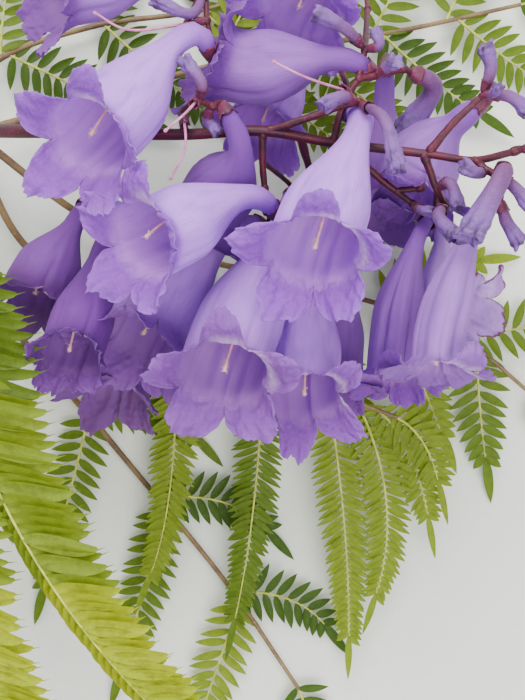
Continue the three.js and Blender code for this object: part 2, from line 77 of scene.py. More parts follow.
# Each bloom: seat in its calyx, crest of its tube, throat, the way it faces, size
BLOOMS = {
    "centre": ((20, 53.5, 44), (23, 54, 50), (11, 21.5, 66), (-0.1, -0.6, 0.8), 1),
    "low_centre": ((7, 36.5, 30), (6.5, 33, 35), (-8, -4, 60), (-0.1, -0.6, 0.8), 1),
    "low_left": ((-36.5, 28, 30), (-37.5, 25, 34), (-42.5, 0, 50), (-0.1, -0.5, 0.86), 0.75),
    "high_left": ((-12, 67.5, 48), (-14, 72, 51), (-35.5, 45.5, 62), (-0.45, -0.5, 0.74), 1),
    "mid_left": ((2, 31.5, 50), (-0.5, 34.5, 53), (-23.5, 23.5, 64), (-0.65, -0.3, 0.7), 1),
    "behind_left": ((-1.5, 29.5, 34), (-4.5, 29.5, 37), (-26.5, 4.5, 42), (-0.3, -0.75, 0.55), 1),
    "lowest": ((13, 26.5, 30), (13.5, 23, 33), (9, -9.5, 50), (0.1, -0.65, 0.75), 0.88),
    "slim": ((22, 27, 18), (21.5, 24, 19), (16.5, -6, 25), (0, -0.9, 0.3), 0.8),
    "right_inner": ((38.5, 30, 36), (36.5, 28.5, 40), (30, -4.5, 36), (-0.1, -0.95, 0.25), 0.82),
    "right_outer": ((49, 31, 44), (47.5, 29, 50), (38, -2, 53), (-0.1, -0.95, 0.2), 0.85),
    "far_right": ((43.5, 31, 22), (44, 28.5, 24), (48.5, 10.5, 26), (0.75, -0.45, 0.45), 0.8),
    "high_right": ((48.5, 55, 44), (46.5, 53.5, 43), (36, 40.5, 31), (-0.3, -0.85, 0.1), 1),
    "back_centre": ((30, 68, 23), (30, 63.5, 19), (30, 36, 15), (0, -0.95, 0.2), 0.85),
    "top_centre": ((23, 63.5, 46), (19.5, 65.5, 48), (-7, 66, 37), (-0.95, 0.2, 0.1), 1),
    "back_top": ((13, 74, 14), (11.5, 72, 16), (0.5, 57, 20), (-0.3, -0.8, 0.4), 0.85),
    "top_left": ((-16.5, 84, 34), (-19, 85.5, 37), (-45, 82.5, 42), (-0.85, -0.3, 0.4), 1),
    "top_back": ((22, 97, 18), (20.5, 97, 20), (9, 81.5, 32), (-0.3, -0.8, 0.5), 1),
    "back_left": ((-44, 35.5, 18), (-45, 33, 20), (-54.5, 14.5, 24), (-0.3, -0.85, 0.4), 0.85),
    "neck_left": ((-7.5, 51, 54), (-4, 45, 56), (-13, 30, 36), (-0.2, -0.95, -0.2), 0.9),
    "back_low": ((-25.5, 20.5, 13), (-26.5, 17, 16), (-35, -8, 26), (-0.2, -0.85, 0.4), 0.85),
}

# What sets a bloom apart. narrow presses its tube flat, swell is where its neck widens, worn crumples it, and
# spread, reach, part, width and turned change its lobes. faded makes it greyer and deep darker, both partly
# the bloom's own colour and partly painted shade for blooms that lie in shade; dry makes it withered.
PLAIN = dict(
    narrow=1, swell=(0.21, 0.74), worn=0, spread=1, reach=1, part=1, width=1, turned=0,
    faded_and_shaded=0.1, deep_and_shaded=0, dry=0,
)
TRAITS = {
    "centre": dict(swell=(0.25, 0.76), faded_and_shaded=0),
    "low_centre": dict(faded_and_shaded=0.5, deep_and_shaded=0.1),
    "low_left": dict(faded_and_shaded=0.7, deep_and_shaded=0.95, worn=0.6, spread=0.35, reach=0.9),
    "high_left": dict(swell=(0.24, 0.7), turned=-0.12),
    "mid_left": dict(turned=0.15, worn=0.2, faded_and_shaded=0),
    "behind_left": dict(faded_and_shaded=0.7, worn=0.3, spread=0.6, reach=1.15),
    "lowest": dict(faded_and_shaded=0.3, deep_and_shaded=0.15, worn=0.2, turned=0.4, reach=1.12, part=1.8, width=0.82),
    "slim": dict(faded_and_shaded=0.5, deep_and_shaded=0.7),
    "right_inner": dict(narrow=0.72, swell=(0.14, 0.66), worn=0.9, faded_and_shaded=0, deep_and_shaded=0.65, spread=1.3),
    "right_outer": dict(
        narrow=0.68, swell=(0.17, 0.7), worn=0.7, faded_and_shaded=0, deep_and_shaded=0.62, dry=0.3, turned=0.5, spread=1.7,
    ),
    "far_right": dict(dry=1, worn=0.5, turned=0.3),
    "high_right": dict(swell=(0.26, 0.8), faded_and_shaded=0.4, deep_and_shaded=0.35),
    "back_centre": dict(faded_and_shaded=0.5, deep_and_shaded=0.5),
    "top_centre": dict(faded_and_shaded=0.5, deep_and_shaded=0.6, worn=0.5),
    "top_left": dict(faded_and_shaded=0.6, deep_and_shaded=0.3),
    "neck_left": dict(faded_and_shaded=0.6, deep_and_shaded=0.75),
    "back_top": dict(faded_and_shaded=0),
    "back_left": dict(faded_and_shaded=1.1, deep_and_shaded=0.85),
    "back_low": dict(faded_and_shaded=1, deep_and_shaded=0.3, worn=0.3, reach=1.05),
}

# Side shoots: joints a, b, c and so on, the limbs where there are several, and what the joints carry
SHOOTS = {
    "shoot_left": dict(
        joints=[(-17.5, 48.5, 46), (-17.5, 52.5, 50), (-14, 54.5, 55), (-11, 53, 55)],
        limbs=("abc", "cd"),
        blooms=dict(neck_left="d"),
        buds=[("c", (-13, 57, 58), (-17, 63, 56), 1.05), ("d", (-12, 51, 52), (-9.5, 47.5, 52), 0.9)],
        styles=[("c", (-16.5, 50.5, 60), (-20.5, 46.5, 62)), ("b", (-17, 44, 53), (-20, 37.5, 54))],
    ),
    "shoot_top_left": dict(
        joints=[(-27.5, 49, 44), (-23.5, 64, 36), (-16, 79, 37), (-13, 82.5, 42), (-12.5, 74, 46)],
        limbs=("abcd", "de"),
        blooms=dict(high_left="e", top_left="c"),
        buds=[("d", (-16, 75, 48), (-25, 78, 50), 1)],
        styles=[("e", (-30, 70.5, 52), (-36.5, 73.5, 54))],
    ),
    "shoot_mid": dict(
        joints=[(0, 49, 47), (0, 42.5, 45), (0.5, 36.5, 44)],
        blooms=dict(mid_left="c", behind_left="c", low_centre="b"),
    ),
    "shoot_low_left": dict(
        joints=[(-41, 49.5, 43), (-39.5, 40.5, 36), (-37.5, 34, 30), (-30.5, 28, 18)],
        limbs=("abc", "cd"),
        blooms=dict(low_left="c", back_left="b", back_low="d"),
    ),
    "shoot_bar": dict(
        joints=[(1, 49, 47), (8.5, 51, 49), (16.5, 53.5, 51), (21, 54.5, 52)],
        buds=[("d", (17, 55, 55), (12.5, 52.5, 56), 1.15), ("d", (26, 49, 60), (29, 37, 61), 1.15)],
    ),
    "shoot_top": dict(
        joints=[
            (16, 46.5, 46), (17, 51.5, 47), (19.5, 57.5, 48), (21.5, 60.5, 48), (25.5, 61.5, 47),
            (32, 63.5, 44), (23, 67.5, 46), (18.5, 68.5, 26), (25, 81, 30),
        ],
        limbs=("abcd", "def", "dg", "ch", "gi"),
        blooms=dict(centre="b", top_centre="d", back_centre="e", back_top="h", top_back="i"),
        buds=[
            ("g", (18.5, 71, 50), (11, 74.5, 52), 1.2), ("g", (26, 68, 48), (25, 71.5, 48), 0.9),
            ("e", (28, 63, 50), (29.5, 63.5, 52), 1.1), ("f", (39.5, 61, 38), (33.5, 51.5, 30), 1.9),
        ],
        styles=[("c", (8.5, 58.5, 60), (2.5, 61, 62))],
    ),
    "shoot_right_up": dict(
        joints=[(37, 44, 49), (42.5, 50.5, 50), (48.5, 56, 51)],
        blooms=dict(high_right="c"),
        buds=[
            ("c", (50, 62, 53), (48.5, 67, 54), 1.15), ("c", (54, 55.5, 53), (59, 52, 52), 1.15),
            ("c", (50.5, 56, 55), (51, 57.5, 57), 0.8),
        ],
    ),
    "shoot_right_down": dict(
        joints=[(36, 43, 49), (39, 36, 47), (41.5, 32.5, 44), (42, 34, 30)],
        limbs=("abc", "bd"),
        blooms=dict(right_inner="b", far_right="d"),
        buds=[("c", (39, 29.5, 50), (42.5, 24.5, 52), 1.2), ("b", (41.5, 37, 50), (43.5, 31, 50), 1.1)],
    ),
    "shoot_behind": dict(
        joints=[(18.5, 46, 46), (24, 41.5, 42), (30.5, 36.5, 40), (34.5, 33.5, 40), (36, 37, 41)],
        limbs=("abcd", "ce"),
        buds=[("d", (36.5, 31.5, 44), (39, 31, 46), 0.9)],
    ),
    "shoot_centre": dict(
        joints=[(8.5, 48, 46), (11.5, 39.5, 38), (14, 32.5, 30), (20, 32, 24)],
        limbs=("abc", "bd"),
        blooms=dict(lowest="c", slim="d"),
    ),
    "shoot_tip": dict(
        joints=[(47, 42, 50), (49, 40, 51), (51.5, 38, 52), (52.5, 34, 50)],
        blooms=dict(right_outer="d"),
        buds=[
            ("b", (46.5, 38.5, 55), (43, 40, 56), 1.1), ("c", (52, 38.5, 58), (43, 22.5, 62), 1.9),
            ("c", (54.5, 36, 54), (58.5, 31, 54), 1.15), ("d", (54, 28.5, 50), (57.5, 23, 50), 1.2),
        ],
    ),
    "shoot_end": dict(
        joints=[(55.5, 44, 49), (57, 44.5, 49)],
        buds=[("b", (60, 44.5, 50), (64, 42, 50), 1.15)],
    ),
}

# Leaves. path is the stalk, bare up to start; then come pairs of pinnae, with length, angle and droop, and
# single pinnae as share, bend and tip. leaflet is a leaflet's length; pitch and width are shares of it.
DEEP, MID, FRESH, YOUNG = range(4)
FAR_LEAF = dict(pairs=3, pinna=40, angle=0.95, leaflet=9.5, tone=MID, pitch=0.3, width=0.34, pinnae=[])
LEAVES = {
    "leaf_front": dict(
        path=[(-75.5, 53.5, 14), (-76.5, 26.5, 50), (-75, -6, 70), (-76.5, -34.5, 72), (-75, -54, 68)],
        start=0.42, pairs=0, pinna=50, angle=0.5, droop=(0.2, -0.8, 0),
        leaflet=20, tone=YOUNG, pitch=0.122, width=0.235,
        pinnae=[
            (0.2, (-67, -31, 84), (-14, -82, 68)),
            (0.55, (-70, -50.5, 74), (-45.5, -92, 66)),
            (0.45, (-88.5, -27, 66), (-87, -62.5, 58)),
        ],
    ),
    "leaf_low": dict(
        path=[(-82.5, 54, 8), (-74.5, 20.5, 3), (-39.5, -23.5, 3), (-9.5, -60, 4), (9.5, -88, 3)],
        start=0.46, pinna=42, droop=(-0.3, -0.9, 0), leaflet=9,
    ),
    "leaf_hanging": dict(
        path=[(-72, 53, 20), (-59.5, 25.5, 7), (-16, 5, 8), (12, -8, 12), (26, -14, 13), (34, -17, 13)],
        start=0.6, pairs=0, pinna=45, angle=0.8, droop=(-0.25, -1.4, 0),
        leaflet=8.2, tone=FRESH, pitch=0.2, width=0.27,
        pinnae=[
            (0.55, (-21, -38, 10), (-28.5, -57, 8)),
            (0.73, (-1, -42, 11), (-7, -68.5, 8)),
            (0.86, (22, -45, 12), (22, -73, 8)),
            (0.92, (36, -38, 12), (29, -62, 8)),
            (0.96, (38, -22, 12), (42, -42, 9)),
        ],
    ),
    "leaf_high_left": dict(
        path=[(-79, 53.5, 12), (-70, 73, 6), (-44.5, 83.5, 4), (-16, 88, 3), (7, 95, 3)],
        start=0.25, droop=(0.4, -0.2, 0), tone=DEEP,
    ),
    "leaf_high_right": dict(
        path=[(-74.5, 53.5, 15), (-51.5, 61.5, 8), (-6, 74.5, 7), (35.5, 82, 6), (66.5, 89, 5)],
        start=0.46, pairs=4, droop=(0.4, 0, 0),
    ),
    "leaf_right": dict(
        path=[(-71.5, 53.5, 20), (-39, 30.5, 8), (17.5, 15.5, 4), (48.5, 5, 4), (71.5, -13, 4)],
        start=0.55, pinna=38, angle=0.9, droop=(0.2, -0.5, 0),
    ),
}

# Petal shape, as in the solids but for the fine edge. A lobe has a reach and a flare
LOBES = 5
SECTOR = math.pi / LOBES
COLUMNS = 36  # in one lobe
TUBE_ROWS = 19
LOBE_ROWS = 24
SEAT_RADIUS = 1.8
NECK_SWELL = 0.8
BELLY_SWELL = 6.2
START_FLARE = 0.15
LOW_LOBE = np.array([12.5, 0.95])
SIDE_LOBE = np.array([11, 1.25])
HIGH_LOBE = np.array([11.5, 2.3])
HALF_PETAL = 0.17
HALF_SEAT = 0.3
RIM_THINNING = 0.1


def vec(values):
    return np.array(values, float)


def unit(v):
    return v / np.linalg.norm(v, axis=-1, keepdims=True)


def smooth(low, high, x):
    t = np.clip((x - low) / (high - low), 0, 1)
    return t * t * (3 - 2 * t)


def mix(a, b, t):
    return a + (b - a) * t


def bell(x, width):
    """1 at 0, falling away on both sides."""
    return np.exp(-((x / width) ** 2))


def wrapped(turn):
    """The same turn between minus and plus half a circle."""
    return (turn + math.pi) % TURN - math.pi


def stacked(x, y, z):
    """Three values as one row for each point."""
    return np.stack(np.broadcast_arrays(x, y, z), -1)


def round_spots(turn, z):
    return stacked(np.cos(turn), np.sin(turn), z)


def waves(points, seed, pitch, count=9):
    """Smooth noise between about -1 and 1, from crossed sine waves."""
    rng = np.random.default_rng(seed)
    total = 0
    for _ in range(count):
        way = unit(rng.normal(size=3)) * rng.uniform(0.6, 1.7) * TURN / pitch
        total = total + np.sin(points @ way + rng.uniform(0, TURN))
    return total / math.sqrt(count)


class Path:
    """A curve that is read by the share of its length."""

    def __init__(self, points):
        self.points = points
        steps = np.linalg.norm(np.diff(points, axis=0), axis=1)
        reached = np.append(0, np.cumsum(steps))
        self.length = reached[-1]
        self.share = reached / self.length

    def at(self, t):
        return np.stack([np.interp(t, self.share, values) for values in self.points.T], -1)

    def along(self, t):
        t = np.asarray(t, float)
        return unit(self.at(np.minimum(t + 0.004, 1)) - self.at(np.maximum(t - 0.004, 0)))

    def frames(self, shares, across=ACROSS):
        """Directions along, across and beside the path, without twist."""
        alongs = self.along(shares)
        outs = []
        for along in alongs:
            across = unit(across - along * (across @ along))
            outs.append(across)
        outs = vec(outs)
        return alongs, outs, np.cross(alongs, outs)


def spline(points):
    """Centripetal Catmull-Rom curve through points."""
    pts = vec(points)
    pts = np.vstack([2 * pts[0] - pts[1], pts, 2 * pts[-1] - pts[-2]])
    sampled = []
    for p0, p1, p2, p3 in zip(pts, pts[1:], pts[2:], pts[3:]):
        k0, k1, k2 = [np.linalg.norm(b - a) ** 0.5 for a, b in ((p0, p1), (p1, p2), (p2, p3))]
        m1 = ((p1 - p0) / k0 - (p2 - p0) / (k0 + k1) + (p2 - p1) / k1) * k1
        m2 = ((p2 - p1) / k1 - (p3 - p1) / (k1 + k2) + (p3 - p2) / k2) * k1
        t = np.linspace(0, 1, 40, endpoint=False)[:, None]
        sampled.append(
            (2 * t**3 - 3 * t**2 + 1) * p1 + (t**3 - 2 * t**2 + t) * m1
            + (-2 * t**3 + 3 * t**2) * p2 + (t**3 - t**2) * m2
        )
    sampled.append(pts[-2][None])
    return Path(np.vstack(sampled))


def bezier(*controls):
    """Bezier curve of three or four control points."""
    t = np.linspace(0, 1, 121)[:, None]
    level = [vec(c) + 0 * t for c in controls]
    while len(level) > 1:
        level = [mix(a, b, t) for a, b in zip(level, level[1:])]
    return Path(level[0])


def joined(blocks, count=0):
    """Blocks of points in one list, filled up with zeros to a count."""
    rows = [np.reshape(block, (-1, 3)) for block in blocks]
    missing = max(0, count - sum(len(k) for k in rows))
    return np.vstack([*rows, np.zeros((missing, 3))])


def add_vectors(mesh, name, values):
    """Gives each point three values that its finish reads by name."""
    layer = mesh.attributes.new(name, "FLOAT_VECTOR", "POINT")
    layer.data.foreach_set("vector", values.astype(np.float32).ravel())


def link(name, data):
    thing = bpy.data.objects.new(name, data)
    bpy.context.scene.collection.objects.link(thing)
    return thing


class Patch:
    """Points, faces and paint gathered for one object."""

    def __init__(self):
        self.points, self.faces, self.kinds, self.paint = [], [], [], []
        self.count = 0

    def add(self, points, faces, paint=(), kind=0):
        """Takes blocks of points, of faces and of paint, which is three values a point."""
        points = joined(points)
        self.points.append(points)
        self.paint.append(joined(paint, len(points)))
        for block in faces:
            block = np.asarray(block) + self.count
            self.faces.extend(block.tolist())
            self.kinds.append(np.full(len(block), kind))
        self.count += len(points)

    def make(self, name, slot, materials, nodes=(), tone=(0, 0, 0)):
        """Makes the object, which rides on the branch and replaces these nodes."""
        mesh = bpy.data.meshes.new(name)
        points = (np.vstack(self.points) - MIDDLE) * MM
        mesh.from_pydata(points.tolist(), [], self.faces)
        for material in materials:
            mesh.materials.append(material)
        mesh.polygons.foreach_set("material_index", np.concatenate(self.kinds).astype(np.int32))
        mesh.polygons.foreach_set("use_smooth", np.ones(len(self.faces), bool))
        add_vectors(mesh, "paint", np.vstack(self.paint))
        add_vectors(mesh, "shade", np.tile(tone, len(points)))
        mesh.update()
        piece = link(name, mesh)
        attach(piece, "root")
        if nodes:
            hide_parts(*nodes)
        return piece


def sheet_faces(rows, columns, closed=True, flip=False):
    """Squares of a grid; closed joins its last column to its first."""
    r, c = np.mgrid[: rows - 1, : columns if closed else columns - 1]
    a = r * columns + c
    b = r * columns + (c + 1) % columns
    corners = [a, b, b + columns, a + columns]
    if flip:
        corners.reverse()
    return np.stack([k.ravel() for k in corners], axis=1)


def fan_faces(centre, ring, flip=False):
    """Triangles from a point to a closed ring."""
    after = np.roll(ring, -1)
    pair = [after, ring] if flip else [ring, after]
    return np.stack([np.full(len(ring), centre), *pair], axis=1)


def even_turns(sides):
    return np.arange(sides) * TURN / sides


def circles(outs, sides, turns):
    """A unit circle across a path at each frame."""
    return outs[:, None] * np.cos(turns)[:, None] + sides[:, None] * np.sin(turns)[:, None]


def tube(patch, path, radius, sides, rows, kind=0, paint_at=None, across=ACROSS, span=(0, 1), lift=None):
    """A closed round limb. radius and lift take shares and turns; rows is a count, or the shares."""
    shares = np.linspace(*span, rows) if isinstance(rows, int) else rows
    sizes = (len(shares), sides)
    alongs, outs, asides = path.frames(shares, across)
    turns = even_turns(sides)
    grid = (shares[:, None], turns)
    reach = np.broadcast_to(radius(*grid), sizes)[..., None]
    points = path.at(shares)[:, None] + reach * circles(outs, asides, turns)
    if lift is not None:
        points = points + lift(*grid)[..., None] * alongs[:, None]
    ends = path.at(shares[[0, -1]])
    count = len(shares) * sides
    faces = [
        sheet_faces(*sizes),
        fan_faces(count, np.arange(sides), flip=True),
        fan_faces(count + 1, np.arange(sides) + count - sides),
    ]
    paint = [] if paint_at is None else [np.broadcast_to(paint_at(*grid), points.shape)]
    patch.add([points, ends], faces, paint, kind)


def ball(patch, centre, radius, way, stretch=1.3):
    """A small round swelling, stretched along a direction."""
    half = way * radius * stretch
    path = Path(vec([centre - half, centre + half]))
    tube(patch, path, lambda t, turn: radius * np.sqrt(np.clip(1 - (2 * t - 1) ** 2, 0.0004, 1)), 14, 11)


def add_shell(patch, outer, inner, ends, paint=()):
    """Two skins that meet at the mouth, each closed at the foot by one of the ends."""
    rows, sides = outer.shape[:2]
    total = rows * sides
    last = total - sides + np.arange(sides)
    after = np.roll(last, -1)
    faces = [
        sheet_faces(rows, sides),
        sheet_faces(rows, sides, flip=True) + total,
        np.stack([last, after, after + total, last + total], 1),
        fan_faces(2 * total, np.arange(sides), flip=True),
        fan_faces(2 * total + 1, np.arange(sides) + total),
    ]
    patch.add([outer, inner, ends], faces, paint)


# Colours and finishes
def rgb(code):
    """A screen colour, as six hex digits, made linear."""
    values = vec(list(bytes.fromhex(code))) / 255
    linear = np.where(values <= 0.04045, values / 12.92, ((values + 0.055) / 1.055) ** 2.4)
    return (*linear, 1)


class Finish:
    """A material and short calls that add its nodes."""

    def __init__(self, name):
        self.material = bpy.data.materials.new(name)
        self.material.use_nodes = True
        self.tree = self.material.node_tree
        self.tree.nodes.clear()
        self.place = self.add("TexCoord", {}).outputs["Object"]

    def add(self, kind, inputs, **settings):
        node = self.tree.nodes.new("ShaderNode" + kind)
        for key, value in settings.items():
            setattr(node, key, value)
        for key, value in inputs.items():
            if isinstance(value, bpy.types.NodeSocket):
                self.tree.links.new(value, node.inputs[key])
            else:
                node.inputs[key].default_value = rgb(value) if isinstance(value, str) else value
        return node

    def attribute(self, name):
        return self.add("Attribute", {}, attribute_name=name).outputs["Vector"]

    def split(self, vector):
        return self.add("SeparateXYZ", {0: vector}).outputs

    def stretch(self, vector, by):
        return self.add("VectorMath", {0: vector, 1: by}, operation="MULTIPLY").outputs[0]

    def math(self, operation, a, b=0):
        return self.add("Math", {0: a, 1: b}, operation=operation).outputs[0]

    def times(self, a, b):
        return self.math("MULTIPLY", a, b)

    def plus(self, a, b):
        return self.math("ADD", a, b)

    def rest(self, a):
        return self.math("SUBTRACT", 1, a)

    def noise(self, scale, detail=3, roughness=0.55, vector=None):
        inputs = {"Vector": vector or self.place, "Scale": scale, "Detail": detail, "Roughness": roughness}
        return self.add("TexNoise", inputs).outputs[0]

    def band(self, value, low, high):
        """0 below low and 1 above high."""
        inputs = {0: value, 1: low, 2: high, 3: 0, 4: 1}
        return self.add("MapRange", inputs, interpolation_type="SMOOTHSTEP").outputs[0]

    def blend(self, factor, a, b, how="MIX"):
        inputs = {0: factor, 6: a, 7: b}
        return self.add("Mix", inputs, data_type="RGBA", blend_type=how).outputs[2]

    def tint(self, base, value, low, high, weight, colour):
        """Brings a colour in by up to a weight, where a value rises from low to high."""
        return self.blend(self.times(self.band(value, low, high), weight), base, colour)

    def bump(self, height, depth, strength=1):
        inputs = {"Height": height, "Distance": depth, "Strength": strength}
        return self.add("Bump", inputs).outputs[0]

    def surface(self, colour, roughness, normal, glow=0, glow_colour=None, **direct):
        """The material's surface, with light through it where glow is over 0."""
        inputs = {"Base Color": colour, "Roughness": roughness, "Normal": normal}
        inputs.update({key.replace("_", " "): value for key, value in direct.items()})
        shader = self.add("BsdfPrincipled", inputs).outputs[0]
        if glow > 0:
            through = self.add("BsdfTranslucent", {"Color": glow_colour}).outputs[0]
            shader = self.add("MixShader", {0: glow, 1: shader, 2: through}).outputs[0]
        self.add("OutputMaterial", {"Surface": shader})
        return self.material


def petal_finish():
    """Downy violet, with a pale arc of painted light inside at the foot of the upper lobes, and painted shade
    in some blooms.
    """
    f = Finish("petal")
    weave = f.attribute("paint")
    x, y, _ = f.split(weave)
    faded_and_shaded, deep_and_shaded, dry = f.split(f.attribute("shade"))
    run, inside, edge = f.split(f.attribute("zone"))
    along = f.stretch(weave, (1, 1, 0.16))
    veins = f.noise(24, 2, 0.6, along)
    fine = f.noise(60, 2, 0.5, along)
    cloud = f.noise(2.3, 3, 0.5, weave)
    down = f.noise(70, 2, 0.6, weave)
    wrinkles = f.noise(11, 3, 0.6, f.stretch(weave, (1, 1, 0.7)))

    # Outside, from the neck to the lobes, and inside, from the throat to the lobes
    neck = f.blend(f.band(run, 0, 0.4), "b068de", "d496fa")
    outside = f.blend(f.band(run, 0.9, 1.3), neck, "9c56ca")
    # The pale throat inside is partly its own paler colour and partly painted light that lifts the shade deep
    # in the mouth
    throat = f.blend(f.band(run, 0.5, 1), "e6b2de", "d090e0")
    inner_side = f.blend(f.band(run, 1, 1.4), throat, "9248b8")
    base = f.blend(inside, outside, inner_side)

    # Veins, down and a paler rim
    base = f.tint(base, veins, 0.5, 0.72, 0.22, "8038b2")
    base = f.tint(base, fine, 0.5, 0.7, 0.2, "c48cf0")
    base = f.tint(base, cloud, 0.45, 0.75, 0.3, "924ac8")
    base = f.tint(base, down, 0.52, 0.7, 0.3, "cc98f2")
    base = f.blend(f.times(edge, 0.3), base, "c492f0")

    # Greyer and darker blooms, partly their own colour and partly painted shade, the crescent of painted
    # light, and dry blooms with a brown rim
    on_lobes = f.plus(0.2, f.times(f.band(run, 0.75, 1.1), 0.55))
    base = f.blend(f.times(faded_and_shaded, on_lobes), base, "7e5484")
    hold = f.rest(f.times(inside, 0.5))
    base = f.blend(f.times(deep_and_shaded, hold), base, (0.31, 0.15, 0.36, 1), "MULTIPLY")
    # A pale crescent inside at the foot of the upper lobes, on one side: painted light where light falls on
    # the inner wall
    lit_crescent = f.times(f.band(run, 0.9, 1.05), f.rest(f.band(run, 1.32, 1.58)))
    lit_crescent = f.times(f.times(lit_crescent, inside), f.band(f.math("SUBTRACT", y, x), 0.5, 1.1))
    base = f.blend(f.times(lit_crescent, 0.8), base, "eac0f0")
    base = f.blend(f.times(dry, 0.45), base, "e0bef0")
    base = f.blend(f.times(dry, f.band(edge, 0.25, 0.7)), base, "783e4a")

    height = f.plus(f.times(veins, 0.7), f.times(fine, 0.35))
    height = f.plus(height, f.times(down, 0.4))
    wrinkles = f.times(wrinkles, f.plus(0.4, f.times(f.band(run, 0.9, 1.4), 2.2)))
    normal = f.bump(f.plus(height, wrinkles), 0.0003, 0.7)
    glow = f.blend(0.5, base, "c480fa")
    return f.surface(
        base, 0.6, normal, 0.42, glow,
        Sheen_Weight=0.05, Sheen_Roughness=0.4, Sheen_Tint="e2cefa", Specular_IOR_Level=0.25,
    )


def twig_finish(name, light, dark, fleck):
    """Smooth shoots with darker stretches and pale flecks."""
    f = Finish(name)
    broad = f.noise(120, 3)
    specks = f.noise(1500, 2)
    base = f.blend(f.band(broad, 0.35, 0.65), dark, light)
    base = f.tint(base, specks, 0.6, 0.68, 0.45, fleck)
    normal = f.bump(f.plus(f.times(broad, 0.5), specks), 0.00012, 0.7)
    return f.surface(base, 0.5, normal, Sheen_Weight=0.04, Specular_IOR_Level=0.28)


def bark_finish():
    """Brown bark, darker in the furrows, where its paint is low."""
    f = Finish("bark")
    ridge = f.split(f.attribute("paint"))[0]
    grain = f.noise(900, 4, 0.65, f.stretch(f.place, (0.3, 1, 1)))
    blotch = f.noise(160, 3)
    base = f.blend(f.band(blotch, 0.3, 0.7), "604c3e", "86705c")
    base = f.tint(base, grain, 0.5, 0.7, 0.5, "46342c")
    furrow = f.rest(f.band(ridge, -0.4, 0.3))
    base = f.blend(f.times(furrow, 0.6), base, "342824")
    return f.surface(base, 0.85, f.bump(grain, 0.0002, 0.8), Specular_IOR_Level=0.25)


def wood_finish():
    """The cut face: rings round a pith, and a green layer under the bark."""
    f = Finish("cut_wood")
    radius = f.split(f.attribute("paint"))[0]
    waver = f.times(f.noise(700, 2), 0.12)
    rings = f.math("SINE", f.times(f.plus(radius, waver), 60))
    fibre = f.noise(4200, 2)
    base = f.blend(f.band(rings, -0.6, 0.8), "cebc94", "b8a076")
    base = f.blend(f.band(radius, 0.84, 0.9), base, "808854")
    base = f.blend(f.band(radius, 0.93, 0.96), base, "544032")
    base = f.blend(f.rest(f.band(radius, 0.08, 0.16)), base, "967654")
    return f.surface(base, 0.75, f.bump(fibre, 0.0001, 0.6))


def bud_finish():
    """Closed buds: grey-lilac down over crinkled folds, with painted shade darkening patches near the tip."""
    f = Finish("bud")
    run = f.split(f.attribute("paint"))[0]
    mottle = f.noise(420, 4, 0.6)
    fur = f.noise(3600, 2)
    base = f.blend(f.band(run, 0.2, 0.9), "5c2a5c", "6a448c")
    base = f.tint(base, mottle, 0.48, 0.7, 0.5, "42245c")
    base = f.tint(base, fur, 0.55, 0.75, 0.3, "9c76b8")
    # Darker patches near the tip: painted shade in the crumpled folds
    folds = f.times(f.band(run, 0.72, 0.93), f.band(mottle, 0.4, 0.6))
    base = f.blend(f.times(folds, 0.75), base, "382244")
    normal = f.bump(f.plus(mottle, f.times(fur, 0.4)), 0.0003, 0.7)
    return f.surface(base, 0.7, normal, Sheen_Weight=0.06, Sheen_Roughness=0.35)


def leaf_finish(name, colour, glow_colour):
    """Green blades: mottled, with a fine grain and light that comes through."""
    f = Finish(name)
    mottle = f.noise(500, 3)
    grain = f.noise(2600, 2)
    darker = tuple(0.6 * v for v in rgb(colour)[:3]) + (1,)
    base = f.tint(colour, mottle, 0.4, 0.7, 0.7, darker)
    base = f.tint(base, grain, 0.5, 0.75, 0.3, glow_colour)
    normal = f.bump(f.plus(mottle, f.times(grain, 0.5)), 0.0001, 0.5)
    return f.surface(base, 0.6, normal, 0.3, glow_colour, Specular_IOR_Level=0.22)


def slender_finish(name, light, dark, pitch, glow):
    """Ribs, styles and hairs: soft streaks of two colours and a fine grain."""
    f = Finish(name)
    streak = f.noise(pitch, 3)
    grain = f.noise(pitch * 4, 2)
    base = f.blend(f.band(streak, 0.35, 0.65), dark, light)
    normal = f.bump(f.plus(streak, f.times(grain, 0.5)), 0.00008, 0.6)
    return f.surface(base, 0.55, normal, glow, light, Specular_IOR_Level=0.3)


PETAL = petal_finish()
BARK = bark_finish()
WOOD = wood_finish()
TWIG = twig_finish("twig", "4c0a22", "2e041a", "722842")
CALYX = twig_finish("calyx", "60223e", "40122c", "8c5474")
BUD = bud_finish()
STYLE = slender_finish("style", "d68aae", "ba6896", 500, 0.15)
STAMEN = slender_finish("stamen", "f0bcaa", "d6969c", 600, 0.2)
HAIR = slender_finish("stamen_hair", "f8e2c4", "e6c6ac", 1200, 0.2)
GREENS = [
    leaf_finish("leaf_deep", "2e440e", "608210"),
    leaf_finish("leaf_mid", "4e6212", "789416"),
    leaf_finish("leaf_fresh", "697b16", "9bad20"),
    leaf_finish("leaf_young", "8c9606", "c0c812"),
]
RIB = slender_finish("leaf_rib", "b8bc4e", "969c3c", 400, 0.1)
STALK = twig_finish("leaf_stalk", "78623e", "58422e", "96825a")


